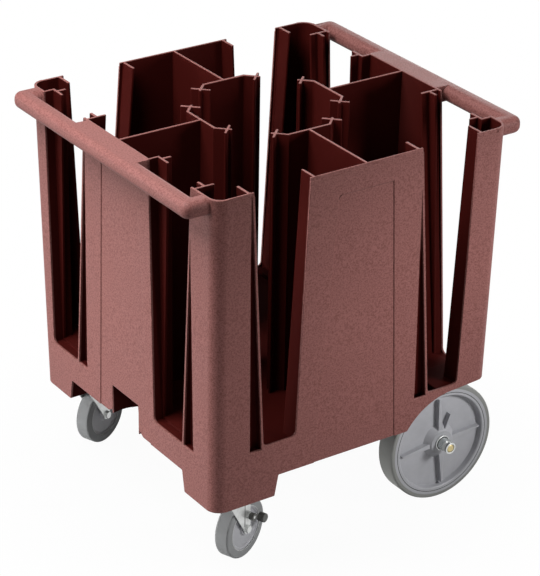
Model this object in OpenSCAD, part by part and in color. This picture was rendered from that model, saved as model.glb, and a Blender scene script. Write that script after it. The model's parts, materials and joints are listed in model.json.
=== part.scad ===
// Plate dispenser cart: a moulded body with four plate columns round a central shaft,
// two end handles, two braked swivel casters and two large fixed wheels on one axle.
// Frame: X along the cart with the fixed wheels at +X, Y across it, Z up from the floor.

/* [Body] */
// Height of the body's rim above the floor
body_h = 820; // [760:5:900]
// Length over the end walls at the rim
rim_l = 672; // [655:1:700]
// Length over the end walls, carried down to the floor
floor_l = 648; // [640:1:655]
// Width over the side walls at the rim
rim_w = 680; // [660:1:700]
// Width over the side walls, carried down to the floor
floor_w = 648; // [640:1:655]
// Thickness of the moulded walls
wall = 5; // [4:0.5:6]
// Radius of the body's upright corners
corner_r = 28; // [20:1:34]
// Height of the rebate below the rim
rim_rebate_h = 8; // [4:1:14]
// Depth of the rebate below the rim
rim_rebate = 1.5; // [0.5:0.1:2]

/* [Base] */
// Height of the skirt's edge above the caster feet
foot_rise = 46; // [40:1:50]
// Depth of the base, from the skirt's edge to the top of the deck
base_depth = 63; // [60:1:70]
// Thickness of the deck
deck_t = 6; // [5:0.5:7]
// Width of the flat floor that each stack of plates stands on
floor_seat_w = 120; // [110:1:124]
// Distance from the middle of the cart to the centre of each stack, along the cart
stack_x = 175; // [165:1:185]
// Length of a caster foot along the side wall
foot_l = 138; // [134:1:142]
// Width of a caster foot along the end wall
foot_w = 107; // [104:1:110]
// Slant at the ends of the feet
foot_slant = 8; // [4:1:10]
// Width of the notch in the end skirt
notch_w = 97; // [80:1:110]
// Height of the notch in the end skirt
notch_h = 65; // [64:1:67]
// Depth of the hood behind the notch
notch_d = 50; // [40:1:70]
// Slant at the mouth of the notch
notch_slant = 18; // [12:1:20]

/* [Side openings] */
// Height of the side sills above the deck
side_sill_rise = 12; // [11:1:14]
// Width of a side panel at its sills
side_panel_low = 284; // [278:1:288]
// Width of a side panel at the rim
side_panel_rim = 257; // [252:1:258]
// Distance between the posts at the side sills
side_gap_low = 497; // [492:1:500]
// Distance between the posts at the side rim
side_gap_rim = 520; // [512:1:524]
// Distance from the centre to the side panel's raised edge at the sill
side_panel_bead_low = 175; // [168:1:178]
// Distance from the centre to the side panel's raised edge at the rim
side_panel_bead_rim = 129; // [128:1:132]
// Distance from the centre to the side post's raised edge at the sill
side_post_bead_low = 217; // [214:1:224]
// Distance from the centre to the side post's raised edge at the rim
side_post_bead_rim = 252; // [250:1:256]
// Corner radius of the side openings
side_sill_r = 10; // [6:1:12]
// Depth of the side flanges
side_flange_d = 43; // [38:1:46]
// How far the edges stand past their flanges at the rim
overhang = 7; // [5:0.5:9]
// How far the raised edges stand past their flanges at the sill
overhang_low = 1; // [0.5:0.5:2]

/* [End openings] */
// Height of the deck above the end sills
end_sill_drop = 4.5; // [3:0.5:5]
// Distance from the centre to the end panel's straight edge
end_panel_plain = 110; // [106:1:114]
// Distance from the centre to the post's straight edge
end_post_plain = 282; // [280:1:284]
// Distance from the centre to the end panel's grooved edge at the sill
end_panel_low = 146; // [142:1:148]
// Distance from the centre to the end panel's grooved edge at the rim
end_panel_rim = 123; // [121:1:125]
// Distance from the centre to the post's grooved edge
end_post_edge = 254; // [252:1:256]
// Distance from the centre to the end panel's raised edge at the sill
end_panel_bead_low = 184; // [178:1:187]
// Distance from the centre to the end panel's raised edge at the rim
end_panel_bead_rim = 127.5; // [126.5:0.5:130]
// Distance from the centre to the end post's raised edge at the sill
end_post_bead_low = 214; // [211:1:220]
// Distance from the centre to the end post's raised edge at the rim
end_post_bead_rim = 256; // [254:1:258]
// Corner radius of the end openings
end_sill_r = 12; // [8:1:14]
// Depth of the end flanges
end_flange_d = 45; // [40:1:48]
// Depth of the recessed lips behind the end walls
lip_d = 22; // [18:1:26]
// Width of the recessed lips at the rim
lip_w = 32; // [26:1:34]
// Width of the recessed lips at the sill
lip_low = 3; // [2:0.5:5]
// Width of the lips behind the raised edges at the rim
bead_lip_w = 13; // [10:1:15]
// Lean of the end flanges behind the straight edges
end_flange_lean = 12; // [8:1:14]
// Depth of the wedge grooves at the sills
groove_d = 15; // [8:1:16]
// Share of a wedge groove's taper that is cut before it ends
groove_share = 0.97; // [0.9:0.01:0.98]

/* [Panels and shaft] */
// Depth of the recessed field on each panel
field_d = 1.6; // [0.8:0.1:2]
// Half width of the recessed field at its lower edge
field_low = 97; // [90:1:100]
// Half width of the recessed field at its upper edge
field_top = 63; // [55:1:68]
// Distance from the rim to the recessed field
field_drop = 51; // [40:1:60]
// Distance from the centre to the shaft walls
shaft_x = 149; // [144:1:154]
// Width of the straight part of a shaft wall
shaft_w = 96; // [90:1:104]
// Length of the slanted part of a shaft wall
shaft_bend = 25; // [20:1:28]
// Length of the cross bar at the end of a shaft wall
shaft_bar = 40; // [30:1:44]
// Length of the stub beyond the cross bar
shaft_stub = 9; // [6:1:12]

/* [Handles] */
// Width of a handle bar, seen from above
bar_w = 36; // [32:1:40]
// Height of a handle bar
bar_h = 34; // [30:1:38]
// Rounding of a handle bar
bar_r = 14; // [10:1:15]
// Reach of a handle bar beyond the rim
bar_reach = 51; // [48:1:56]
// Width over the ends of a handle bar
bar_l = 642; // [630:1:648]
// Width of the flat top between a panel and its bar
bar_pad_w = 224; // [200:1:232]

/* [Fixed wheels] */
// Diameter of a fixed wheel
wheel_d = 254; // [240:1:258]
// Width of a fixed wheel
wheel_w = 45; // [40:1:48]
// Diameter of the tyre's inner seat
wheel_seat_d = 236; // [224:1:238]
// Diameter inside the wheel's flat rim
wheel_rim_d = 208; // [196:1:212]
// Depth of the dish on each side of a wheel
wheel_dish = 12; // [8:1:14]
// Diameter of a wheel's boss
boss_d = 52; // [48:1:60]
// Diameter at the foot of the boss's cone
cone_d = 76; // [68:1:84]
// How far the boss stands out from the wheel's face
boss_out = 1.5; // [0.5:0.5:3]
// Outer reach of the wheel's blade ribs
rib_r = 98; // [90:1:100]
// Thickness of a blade rib at the boss
rib_root_t = 12; // [8:1:14]
// Thickness of a blade rib at its outer end
rib_tip_t = 3; // [2:0.5:5]
// Turn of the blade ribs at rest
rib_turn = 4.5; // [0:0.5:45]
// Outer reach of the small fin
fin_r = 62; // [56:1:70]
// Turn of the small fin from its rib
fin_turn = 25; // [15:1:40]
// Distance from the body's centre to the axle
axle_x = 244; // [240:1:248]
// Distance from the body's middle to the outer face of a wheel
wheel_face_y = 296.5; // [290:0.5:298]
// Clearance between a wheel and its arch
arch_gap = 10; // [8:1:12]
// Rise of the arch towards the end of the body
arch_rise = 6; // [3:1:7]
// Diameter of the axle rod
axle_d = 17; // [14:0.5:18]
// How far the axle rod stands out of its collars
axle_end = 5.3; // [3:0.1:7]
// Outer diameter of the wheel bushings
bushing_d = 24; // [21:0.5:26]
// Diameter of the axle washers
washer_d = 30; // [28:1:34]
// Thickness of the outer axle washers
washer_t = 2.4; // [1.5:0.1:3]
// Diameter of the axle collars
collar_d = 25; // [24:0.5:28]
// Length of the axle collars
collar_l = 22; // [18:1:23]
// Width of the groove round an axle collar
collar_groove_w = 3; // [2:0.5:4]
// Depth of the groove round an axle collar
collar_groove = 1.5; // [1:0.5:2]

/* [Axle legs] */
// Width over the cheeks of an axle leg
leg_w = 48; // [40:1:50]
// Thickness of an axle leg's cheeks
leg_t = 10; // [8:1:12]
// Length of an axle leg under the deck
leg_top_l = 110; // [90:1:116]
// Radius of an axle leg round the rod
leg_r = 24; // [20:1:28]

/* [Casters] */
// Height of a caster, floor to plate top
caster_h = 157; // [155:1:160]
// Distance from the body's centre to the kingpins
kingpin_x = 255; // [250:1:260]
// Distance from the body's middle to the kingpins
kingpin_y = 269; // [266:1:272]
// Rest turn of the right caster
right_turn = 21.8; // [0:0.1:45]
// Rest turn of the left caster
left_turn = 22.3; // [0:0.1:45]
// Length of a caster plate
plate_l = 92; // [90:1:96]
// Width of a caster plate
plate_w = 64; // [62:1:70]
// Thickness of a caster plate
plate_t = 3; // [2.5:0.5:4]
// Spacing of the plate bolts along the body
bolt_l = 74; // [70:1:76]
// Spacing of the plate bolts across the body
bolt_w = 46; // [44:1:50]
// Diameter of the plate bolts
bolt_d = 8; // [6:0.5:8]
// Width across the flats of the plate bolts' heads and nuts
bolt_head_w = 11.8; // [9:0.1:12]
// Height of the plate bolts' heads and nuts
bolt_head_h = 4.8; // [4:0.1:6]
// Diameter of the swivel race
race_d = 54; // [48:1:58]
// Height of the swivel race
race_h = 8; // [6:1:9]
// Diameter of the kingpin
kingpin_d = 12; // [10:0.5:14]
// Trail of a caster wheel behind its kingpin
trail = 36; // [32:1:38]
// Diameter of a caster wheel
caster_d = 127; // [120:1:128]
// Width of a caster wheel
caster_w = 31; // [26:1:32]
// Diameter of a caster hub
caster_hub_d = 92; // [84:1:98]
// Depth of the recess in a caster hub
caster_dish = 3; // [2:0.5:4]
// Thickness of the fork's steel
fork_t = 3; // [2.5:0.5:3.5]
// Reach of the fork's legs behind the kingpin
fork_back = 18; // [15:1:20]
// Diameter of the caster axle
caster_axle_d = 8; // [6:0.5:10]
// Diameter of the caster sleeve
sleeve_d = 13; // [12:0.5:16]
// Width across the flats of the caster's axle head and nut
caster_nut_w = 14; // [12:0.5:16]
// Height of the caster's axle head and nut
caster_nut_h = 5; // [4:0.5:7]

/* [Brakes] */
// Distance from the kingpin to the brake pivot
brake_s = 42; // [40:1:44]
// Height of the brake pivot above the wheel's axle
brake_rise = 28; // [26:1:30]
// Distance from the brake pivot to its tip
brake_l = 37; // [34:1:40]
// Slope of the brake lever at rest
brake_slope = 28; // [24:1:32]
// Diameter of the brake tip
tip_d = 19; // [16:1:21]
// Length of the brake tip
tip_l = 14; // [10:1:16]
// Diameter of the brake barrel
barrel_d = 15; // [12:1:16]
// Length of the brake barrel
barrel_l = 10; // [8:1:12]
// Thickness of the brake lever
lever_t = 2.5; // [2:0.5:3]
// Width of the brake lever
lever_w = 9; // [8:1:11]
// Diameter of the brake pivot
brake_pin_d = 6; // [5:0.5:7]

/* [Clearances] */
// Radial clearance of a running fit
fit = 0.05; // [0.03:0.01:0.08]
// Clearance between faces that move past each other
gap = 0.3; // [0.2:0.05:0.4]
// Radial clearance round the plate bolts
bolt_gap = 0.4; // [0.2:0.1:0.5]

/* [Hidden] */

$fn = 64;
// Segments of the rounded pieces that hulls join
hull_fn = 32;
bead_fn = 24;
// Facets round each upright corner of the body
corner_steps = 8;
// Overrun of every cut
cut = 1;
// Length of the cuts that go right through a piece of the casters
through_cut = 500;
// Least width of a plate that tapers to an edge
film = 0.01;
// Place of the bend in the notch's slanted side, as a share of the slant
slant_share = 0.25;
// Length of a caster axle's end from the fork's leg, as a share of the nut
stud_share = 1.5;
// Fillet where the shaft's walls and bars meet
shaft_fillet = 4;
// Rounding of the small turned and moulded edges
soft_r = 2;

// Levels
skirt_z = caster_h + foot_rise;
deck_z = skirt_z + base_depth;
deck_under = deck_z - deck_t;
notch_z = skirt_z + notch_h;
side_sill = deck_z + side_sill_rise;
end_sill = deck_z - end_sill_drop;
side_top = side_sill + side_sill_r;
end_top = end_sill + end_sill_r;
ledge_under = end_sill - deck_t;
wheel_r = wheel_d/2;
arch_r = wheel_r + arch_gap;
arch_top = wheel_r + arch_r;
hood_under = arch_top + arch_rise;
hood_z = hood_under + deck_t;
bar_under = body_h - bar_h;

// Places in plan
split_y = floor_w/2 - corner_r + wall;
deck_x = half_l(deck_z) - lip_d;
in_l = half_l(deck_under) - wall;
in_w = half_w(deck_under) - wall;
foot_x = half_l(caster_h) - foot_l;
foot_y = half_w(caster_h) - foot_w;
hood_x = axle_x - sqrt(pow(arch_r, 2) - pow(deck_under - wheel_r, 2)) - 2*wall;
hood_y = wheel_face_y - wheel_w - wall;
stack_y = hood_y - wall - floor_seat_w/2;
bar_x = half_l(body_h) + bar_reach - bar_w/2;
bar_y = (bar_l - bar_w)/2;
wheel_y = wheel_face_y - wheel_w/2;

// Edges of the openings, each as its place at the sill and at the rim
side_panel_edge = [side_panel_low/2, side_panel_rim/2];
side_panel_bead = [side_panel_bead_low, side_panel_bead_rim];
side_post_edge = [side_gap_low/2, side_gap_rim/2];
side_post_bead = [side_post_bead_low, side_post_bead_rim];
end_panel_edge = [end_panel_low, end_panel_rim];
end_panel_bead = [end_panel_bead_low, end_panel_bead_rim];
end_post_bead = [end_post_bead_low, end_post_bead_rim];

brown = [0.42, 0.27, 0.25];
hub_grey = [0.56, 0.56, 0.58];
tyre_grey = [0.42, 0.43, 0.42];
zinc = [0.72, 0.72, 0.7];
yellow_zinc = [0.72, 0.66, 0.42];
dark = [0.2, 0.2, 0.19];

// Half the body's length and width over the drafted walls, at a height
function half_l(z) = (floor_l + (rim_l - floor_l)*z/body_h)/2;
function half_w(z) = (floor_w + (rim_w - floor_w)*z/body_h)/2;

function half(face, z) = face == "side" ? half_w(z) : half_l(z);

// A line up a wall is a pair: its value at the sill and its value at the rim
function sill(face) = face == "side" ? side_sill : end_sill;
function upright(v) = [v, v];
function at(face, line, z) = line[0] + (line[1] - line[0])*(z - sill(face))/(body_h - sill(face));
function through(face, z0, v0, z1, v1) =
    [for (z = [sill(face), body_h]) v0 + (v1 - v0)*(z - z0)/(z1 - z0)];

// A wedge groove tapers to nothing at this share of the way from the sill to the rim
function taper(edge, bead) = (bead[0] - wall - edge[0])/(bead[0] - edge[0] - bead[1] + edge[1]);
function taper_z(face, edge, bead, share) =
    sill(face) + share*taper(edge, bead)*(body_h - sill(face));
function groove_line(edge, bead) = [groove_d, groove_d*(1 - 1/taper(edge, bead))];

// Corners of a plate at one height, where the plate follows a drafted wall: a and b bound
// it along the wall, d0 and d1 in depth from the wall's outer face
function corners(face, z, a, b, d0, d1) =
    let (
        u0 = at(face, a, z),
        u1 = max(u0 + film, at(face, b, z)),
        e0 = at(face, d0, z) - half(face, z),
        e1 = max(at(face, d0, z) + film, at(face, d1, z)) - half(face, z)
    )
    face == "side"
        ? [[u0, e0, z], [u1, e0, z], [u1, e1, z], [u0, e1, z]]
        : [[e0, u0, z], [e1, u0, z], [e1, u1, z], [e0, u1, z]];

// Plate between two heights, on the right side wall or on the front end wall
module plate(face, z0, z1, a, b, d0, d1)
    polyhedron(
        points = concat(corners(face, z0, a, b, d0, d1), corners(face, z1, a, b, d0, d1)),
        faces = [[0, 1, 2, 3], [7, 6, 5, 4], [0, 4, 5, 1], [1, 5, 6, 2], [2, 6, 7, 3], [3, 7, 4, 0]]
    );

module rounded(l, w, r) {
    square([2*l, 2*(w - r)], center = true);
    square([2*(l - r), 2*w], center = true);
    for (x = [-1, 1], y = [-1, 1])
        translate([x*(l - r), y*(w - r)]) circle(r, $fn = hull_fn);
}

// Outline of the body at a height, t inside its outer faces
function outline(t, z) = [
    for (q = [0:3], k = [0:corner_steps])
        let (
            a = 90*(q + k/corner_steps),
            x = q == 0 || q == 3 ? 1 : -1,
            y = q < 2 ? 1 : -1,
            r = corner_r - t
        )
        [x*(half_l(z) - corner_r) + r*cos(a), y*(half_w(z) - corner_r) + r*sin(a), z]
];

// Drafted block of the body's outline between two heights
module envelope(t, z0, z1) {
    n = 4*(corner_steps + 1);
    polyhedron(
        points = concat(outline(t, z0), outline(t, z1)),
        faces = concat(
            [[for (i = [0:n - 1]) i], [for (i = [2*n - 1:-1:n]) i]],
            [for (i = [0:n - 1]) let (j = (i + 1) % n) [i, i + n, j + n, j]]
        )
    );
}

module shell(z0, z1)
    difference() {
        envelope(0, z0, z1);
        envelope(wall, z0 - cut, z1 + cut);
    }

module half_turn() rotate([0, 0, 180]) children();

module box(x, y, z)
    translate([x[0], y[0], z[0]]) cube([x[1] - x[0], y[1] - y[0], z[1] - z[0]]);

// Space that the deck, the wheel hoods and the notch's hood take up
module hood_outline(y_sign)
    intersection() {
        rounded(in_l, in_w, corner_r - wall);
        translate([hood_x, y_sign > 0 ? hood_y : -rim_w]) square([rim_l, rim_w - hood_y]);
    }

module notch_block()
    box([-in_l, notch_d - in_l], [-notch_w/2 - wall, notch_w/2 + wall], [ledge_under, notch_z + wall]);

module base_block() {
    box([-deck_x, deck_x], [-in_w, in_w], [ledge_under, deck_z]);
    notch_block();
    for (s = [-1, 1])
        translate([0, 0, ledge_under]) linear_extrude(hood_z - ledge_under) hood_outline(s);
}

// Opening between the edges a and b, with rounded lower corners
module opening_cut(face, a, b, r, top) {
    z = sill(face) + r;
    hull() {
        plate(face, z, top + cut, a, b, upright(-cut), upright(wall + cut));
        for (u = [at(face, a, z) + r, at(face, b, z) - r])
            if (face == "side")
                translate([u, wall + cut - half_w(z), z]) rotate([90, 0, 0])
                    cylinder(r = r, h = wall + 2*cut, $fn = hull_fn);
            else
                translate([-half_l(z) - cut, u, z]) rotate([0, 90, 0])
                    cylinder(r = r, h = wall + 2*cut, $fn = hull_fn);
    }
}

// Mouth of the wedge groove between an edge and its raised edge
module groove_cut(face, z0, top, edge, bead)
    plate(face, z0, top + cut, edge, bead - upright(wall), upright(-cut), upright(wall + cut));

// Wedge groove, which tapers in width and depth towards the rim
module wedge_cut(face, z_groove, edge, bead)
    plate(face, z_groove - cut, min(body_h + cut, taper_z(face, edge, bead, groove_share)),
        edge, bead - upright(wall), upright(-cut), groove_line(edge, bead));

// Recessed field on a panel
module field_cut(face) {
    side = through(face, skirt_z, field_low, body_h - field_drop, field_top);
    plate(face, skirt_z - cut, body_h - field_drop, -side, side, upright(-cut), upright(field_d));
}

// Rebate below the rim of a side wall
module rebate_cut()
    plate("side", body_h - rim_rebate_h, body_h + cut, upright(corner_r - rim_l/2),
        upright(rim_l/2 - corner_r), upright(-cut), upright(rim_rebate));

// Line of the groove's side of the flange behind a raised edge
function flange_root(bead) = bead - [wall + overhang_low, wall + overhang];

// Plate behind a wall: it meets the wall above z_wall and clears the skirt's wall below it
module inner_plate(face, z_in, z_wall, z_top, a, b, d) {
    plate(face, z_in, z_wall, a, b, upright(wall), d);
    plate(face, z_wall, z_top, a, b, upright(wall/2), d);
}

// Block behind a raised edge, which the wedge groove is cut into, and an inward flange.
// The opening lies beyond it.
module beaded_edge(face, z_wall, z_in, z_groove, edge, bead, flange_d) {
    root = flange_root(bead);
    inner_plate(face, z_in, z_wall, body_h, root, root + upright(wall), upright(flange_d));
    inner_plate(face, z_groove, z_wall, min(body_h, taper_z(face, edge, bead, 1) + wall),
        edge - upright(wall), bead - [wall/2, wall], groove_line(edge, bead) + upright(wall));
}

// Recessed lip behind the raised edge of an end wall
module beaded_lip(bead)
    plate("end", end_sill, body_h, flange_root(bead) + upright(wall/2), bead + [lip_low, bead_lip_w],
        upright(lip_d), upright(lip_d + wall));

// Plain edge of a side wall, with its flange set back at the rim
module plain_side_edge(edge)
    inner_plate("side", deck_z, side_top, body_h, edge + [0, overhang], edge + [wall, overhang + wall],
        upright(side_flange_d));

// Plain edge of an end wall: a return, a recessed lip and a flange
module plain_end_edge(edge) {
    inner_plate("end", end_sill, end_top, body_h, upright(edge), upright(edge + wall),
        upright(lip_d + wall/2));
    plate("end", end_sill, body_h, [edge - lip_low, edge - lip_w], upright(edge + wall),
        upright(lip_d), upright(lip_d + wall));
    plate("end", end_sill, body_h, [edge, edge - end_flange_lean],
        [edge + wall, edge + wall - end_flange_lean], upright(lip_d + wall/2), upright(end_flange_d));
}

// Wall of the central shaft, with a cross bar and a stub at each end
module shaft_wall()
    translate([0, -shaft_x, deck_z]) linear_extrude(body_h - deck_z)
        offset(delta = -shaft_fillet) offset(r = shaft_fillet, $fn = hull_fn) {
            square([shaft_w, wall], center = true);
            for (s = [0, 1]) mirror([s, 0]) translate([shaft_w/2, 0]) rotate(45) {
                translate([-wall/2, -wall/2]) square([wall/2 + shaft_bend + shaft_stub, wall]);
                translate([shaft_bend - wall/2, -shaft_bar/2]) square([wall, shaft_bar]);
            }
        }

// Web between the middle of a panel and the shaft
module web(face) {
    reach = [half(face, sill(face)) - shaft_x, half(face, body_h) - shaft_x];
    inner_plate(face, deck_z, face == "side" ? side_top : end_top, body_h,
        upright(-wall/2), upright(wall/2), reach);
}

module tower_side()
    difference() {
        union() {
            plate("side", side_top, body_h, -side_panel_edge, side_panel_bead,
                upright(0), upright(wall));
            beaded_edge("side", side_top, deck_z, side_sill - wall, side_panel_edge, side_panel_bead,
                side_flange_d);
            plain_side_edge(-side_panel_edge);
            web("side");
            shaft_wall();
        }
        wedge_cut("side", side_sill - wall, side_panel_edge, side_panel_bead);
        base_block();
        field_cut("side");
        rebate_cut();
    }

module tower_end()
    difference() {
        union() {
            plate("end", end_top, body_h, upright(-end_panel_plain), end_panel_bead,
                upright(0), upright(wall));
            beaded_edge("end", end_top, end_sill, end_sill, end_panel_edge, end_panel_bead,
                end_flange_d);
            beaded_lip(end_panel_bead);
            plain_end_edge(-end_panel_plain);
            web("end");
            rotate([0, 0, -90]) shaft_wall();
        }
        wedge_cut("end", end_sill, end_panel_edge, end_panel_bead);
        base_block();
        field_cut("end");
    }

// Corner wall of the front right post, up to its edges on the side wall and on the end wall
module beaded_corner()
    intersection() {
        shell(end_top, body_h);
        union() {
            plate("side", side_top, body_h, upright(-rim_l), -side_post_bead,
                upright(-cut), upright(corner_r));
            difference() {
                plate("end", end_top, body_h, upright(-rim_w), -end_post_bead,
                    upright(-cut), upright(corner_r));
                box([-rim_l, rim_l], [-rim_w, -split_y], [end_top - cut, side_top]);
            }
        }
    }

// Corner wall of the front left post, up to its edges on the side wall and on the end wall
module plain_corner()
    intersection() {
        shell(end_top, body_h);
        union() {
            half_turn() plate("side", side_top, body_h, side_post_edge, upright(rim_l),
                upright(-cut), upright(corner_r));
            difference() {
                plate("end", end_top, body_h, upright(end_post_plain), upright(rim_w),
                    upright(-cut), upright(corner_r));
                box([-rim_l, rim_l], [split_y, rim_w], [end_top - cut, side_top]);
            }
        }
    }

// Post with two raised edges, at the front right corner
module beaded_post()
    difference() {
        union() {
            beaded_corner();
            beaded_edge("side", side_top, deck_z, side_sill - wall, -side_post_edge, -side_post_bead,
                side_flange_d);
            beaded_edge("end", end_top, end_sill, end_sill, upright(-end_post_edge), -end_post_bead,
                end_flange_d);
            beaded_lip(-end_post_bead);
        }
        wedge_cut("side", side_sill - wall, -side_post_edge, -side_post_bead);
        wedge_cut("end", end_sill, upright(-end_post_edge), -end_post_bead);
        base_block();
        rebate_cut();
    }

// Post with two plain edges, at the front left corner
module plain_post()
    difference() {
        union() {
            plain_corner();
            half_turn() plain_side_edge(side_post_edge);
            plain_end_edge(end_post_plain);
        }
        base_block();
        half_turn() rebate_cut();
    }

module post_front_right() color(brown) beaded_post();

module post_rear_left()
    color(brown) difference() {
        half_turn() beaded_post();
        base_block();
    }

module post_front_left() color(brown) plain_post();

module post_rear_right()
    color(brown) difference() {
        half_turn() plain_post();
        base_block();
    }

module tower_right() color(brown) tower_side();
module tower_left() color(brown) half_turn() tower_side();
module tower_front() color(brown) tower_end();
module tower_rear() color(brown) half_turn() tower_end();

// Lower outline of the side skirts: feet at the front, wheel arch at the back
module side_underline()
    translate([0, rim_w, 0]) rotate([90, 0, 0]) linear_extrude(2*rim_w) {
        polygon([
            [-rim_l, -cut], [-rim_l, caster_h], [-foot_x, caster_h],
            [foot_slant - foot_x, skirt_z], [axle_x, skirt_z], [axle_x, -cut]
        ]);
        translate([axle_x, wheel_r]) circle(arch_r);
        polygon([
            [axle_x, -cut], [axle_x, arch_top], [half_l(hood_under), hood_under],
            [rim_l, hood_under], [rim_l, -cut]
        ]);
    }

// Lower outline of the front skirt: a notch between the two feet
module front_underline() {
    half_line = [
        [rim_w, -cut], [rim_w, caster_h], [foot_y, caster_h], [foot_y - foot_slant, skirt_z],
        [notch_w/2 + notch_slant, skirt_z], [notch_w/2 + slant_share*notch_slant, skirt_z + foot_slant],
        [notch_w/2, notch_z]
    ];
    rotate([90, 0, 90]) translate([0, 0, -rim_l]) linear_extrude(rim_l)
        for (s = [0, 1]) mirror([s, 0])
            polygon(concat(half_line, [[-cut, notch_z], [-cut, -cut]]));
}

// Lower outline of the rear skirt, raised over the wheels
module rear_underline()
    rotate([90, 0, 90]) linear_extrude(rim_l)
        polygon([
            [-rim_w, -cut], [-rim_w, hood_under], [-hood_y, hood_under], [-hood_y, skirt_z],
            [hood_y, skirt_z], [hood_y, hood_under], [rim_w, hood_under], [rim_w, -cut]
        ]);

// Side wall up to the foot of its openings
module side_band()
    difference() {
        intersection() {
            shell(caster_h, side_top);
            box([-rim_l, rim_l], [-rim_w, -split_y], [0, side_top]);
        }
        opening_cut("side", -side_post_bead, -side_panel_edge, side_sill_r, side_top);
        opening_cut("side", side_panel_bead, side_post_edge, side_sill_r, side_top);
        groove_cut("side", side_sill - wall, side_top, -side_post_edge, -side_post_bead);
        groove_cut("side", side_sill - wall, side_top, side_panel_edge, side_panel_bead);
        field_cut("side");
    }

// End wall up to the foot of its openings, with the ledge that the deck ends on
module end_band()
    difference() {
        union() {
            intersection() {
                shell(caster_h, end_top);
                box([-rim_l, 0], [-split_y, split_y], [0, end_top]);
            }
            intersection() {
                envelope(wall/2, ledge_under, end_sill);
                box([-rim_l, -deck_x], [-split_y, split_y], [ledge_under, end_sill]);
            }
            intersection() {
                envelope(wall, ledge_under, end_sill);
                for (s = [0, 1]) mirror([0, s])
                    box([-rim_l, -deck_x], [split_y, rim_w], [ledge_under, end_sill]);
            }
        }
        opening_cut("end", -end_post_bead, upright(-end_panel_plain), end_sill_r, end_top);
        opening_cut("end", end_panel_bead, upright(end_post_plain), end_sill_r, end_top);
        groove_cut("end", end_sill, end_top, upright(-end_post_edge), -end_post_bead);
        groove_cut("end", end_sill, end_top, end_panel_edge, end_panel_bead);
        field_cut("end");
    }

module skirt_right()
    color(brown) difference() {
        side_band();
        side_underline();
    }

module skirt_left()
    color(brown) difference() {
        half_turn() side_band();
        side_underline();
    }

module skirt_front()
    color(brown) difference() {
        end_band();
        front_underline();
        notch_block();
    }

module skirt_rear()
    color(brown) {
        difference() {
            half_turn() end_band();
            rear_underline();
        }
        intersection() {
            shell(ledge_under, end_top);
            for (s = [0, 1]) mirror([0, s]) {
                box([0, rim_l], [hood_y, split_y], [hood_under, end_top]);
                box([0, rim_l], [hood_y - wall, hood_y], [ledge_under, end_top]);
            }
        }
    }

// The four column floors, between two levels
module floor_blocks(z0, z1)
    for (x = [-1, 1], y = [-1, 1])
        translate([x*stack_x, y*stack_y, z0]) linear_extrude(z1 - z0) square(floor_seat_w, center = true);

// Flat deck with raised hoods over the fixed wheels and a hood behind the notch
module base_deck()
    color(brown) difference() {
        union() {
            translate([0, 0, deck_under]) linear_extrude(deck_t) intersection() {
                rounded(in_l, in_w, corner_r - wall);
                square([2*deck_x, 2*in_w], center = true);
            }
            for (s = [-1, 1])
                translate([0, 0, deck_under]) linear_extrude(hood_z - deck_under) hood_outline(s);
            notch_block();
        }
        for (s = [0, 1]) mirror([0, s])
            translate([0, 0, deck_under - cut]) linear_extrude(hood_under - deck_under + cut)
                translate([hood_x + wall, hood_y + wall]) square([rim_l, rim_w]);
        box([-rim_l, notch_d - wall - in_l], [-notch_w/2, notch_w/2], [ledge_under - cut, notch_z]);
        floor_blocks(deck_under - cut, deck_z + cut);
    }

// Flat floor in each column, which the foot of the lowest plate stands on
module column_floors() color(brown) floor_blocks(deck_under, deck_z);

// Closed caster foot: a bored floor plate and two inner walls
module caster_pad(side) {
    top = ledge_under;
    color(brown) difference() {
        mirror([0, side > 0 ? 1 : 0]) {
            translate([0, 0, caster_h]) linear_extrude(wall) intersection() {
                rounded(half_l(caster_h) - wall, half_w(caster_h) - wall, corner_r - wall);
                translate([-rim_l, -rim_w]) square([rim_l - foot_x, rim_w - foot_y]);
            }
            box([-foot_x - wall, -foot_x], [wall - half_w(caster_h), -foot_y], [caster_h, deck_under]);
            box([wall - half_l(caster_h), -foot_x], [-foot_y - wall, -foot_y], [caster_h, top]);
            box([-deck_x, -foot_x], [-foot_y - wall, -foot_y], [caster_h, deck_under]);
        }
        bolt_places(side) cylinder(r = bolt_d/2 + bolt_gap, h = through_cut, center = true);
    }
}

module caster_pad_right() caster_pad(-1);
module caster_pad_left() caster_pad(1);

// Leg under the deck: two bored cheeks and a cross wall
module axle_leg(side) {
    outer = hood_y - wall;
    color(brown) mirror([0, side > 0 ? 1 : 0]) {
        for (y = [-outer, leg_w - outer - leg_t])
            translate([axle_x, y + leg_t, wheel_r]) rotate([90, 0, 0]) linear_extrude(leg_t)
                difference() {
                    union() {
                        circle(leg_r);
                        polygon([
                            [-leg_r, 0], [leg_r, 0], [leg_top_l/2, deck_under - wheel_r],
                            [-leg_top_l/2, deck_under - wheel_r]
                        ]);
                    }
                    circle(axle_d/2 + fit);
                }
        box([axle_x - wall/2, axle_x + wall/2], [leg_t - outer, leg_w - outer - leg_t],
            [wheel_r + leg_r, deck_under]);
    }
}

module axle_leg_right() axle_leg(-1);
module axle_leg_left() axle_leg(1);

// Rounded bead of a handle bar, round in plan
module bead()
    hull() for (s = [-1, 1])
        translate([0, 0, s*(bar_h/2 - bar_r)]) rotate_extrude($fn = bead_fn) intersection() {
            translate([bar_w/2 - bar_r, 0]) circle(bar_r, $fn = bead_fn);
            translate([0, -bar_r]) square([bar_w, 2*bar_r]);
        }

module bar_between(a, b)
    hull() for (p = [a, b]) translate([p.x, p.y, body_h - bar_h/2]) bead();

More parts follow.
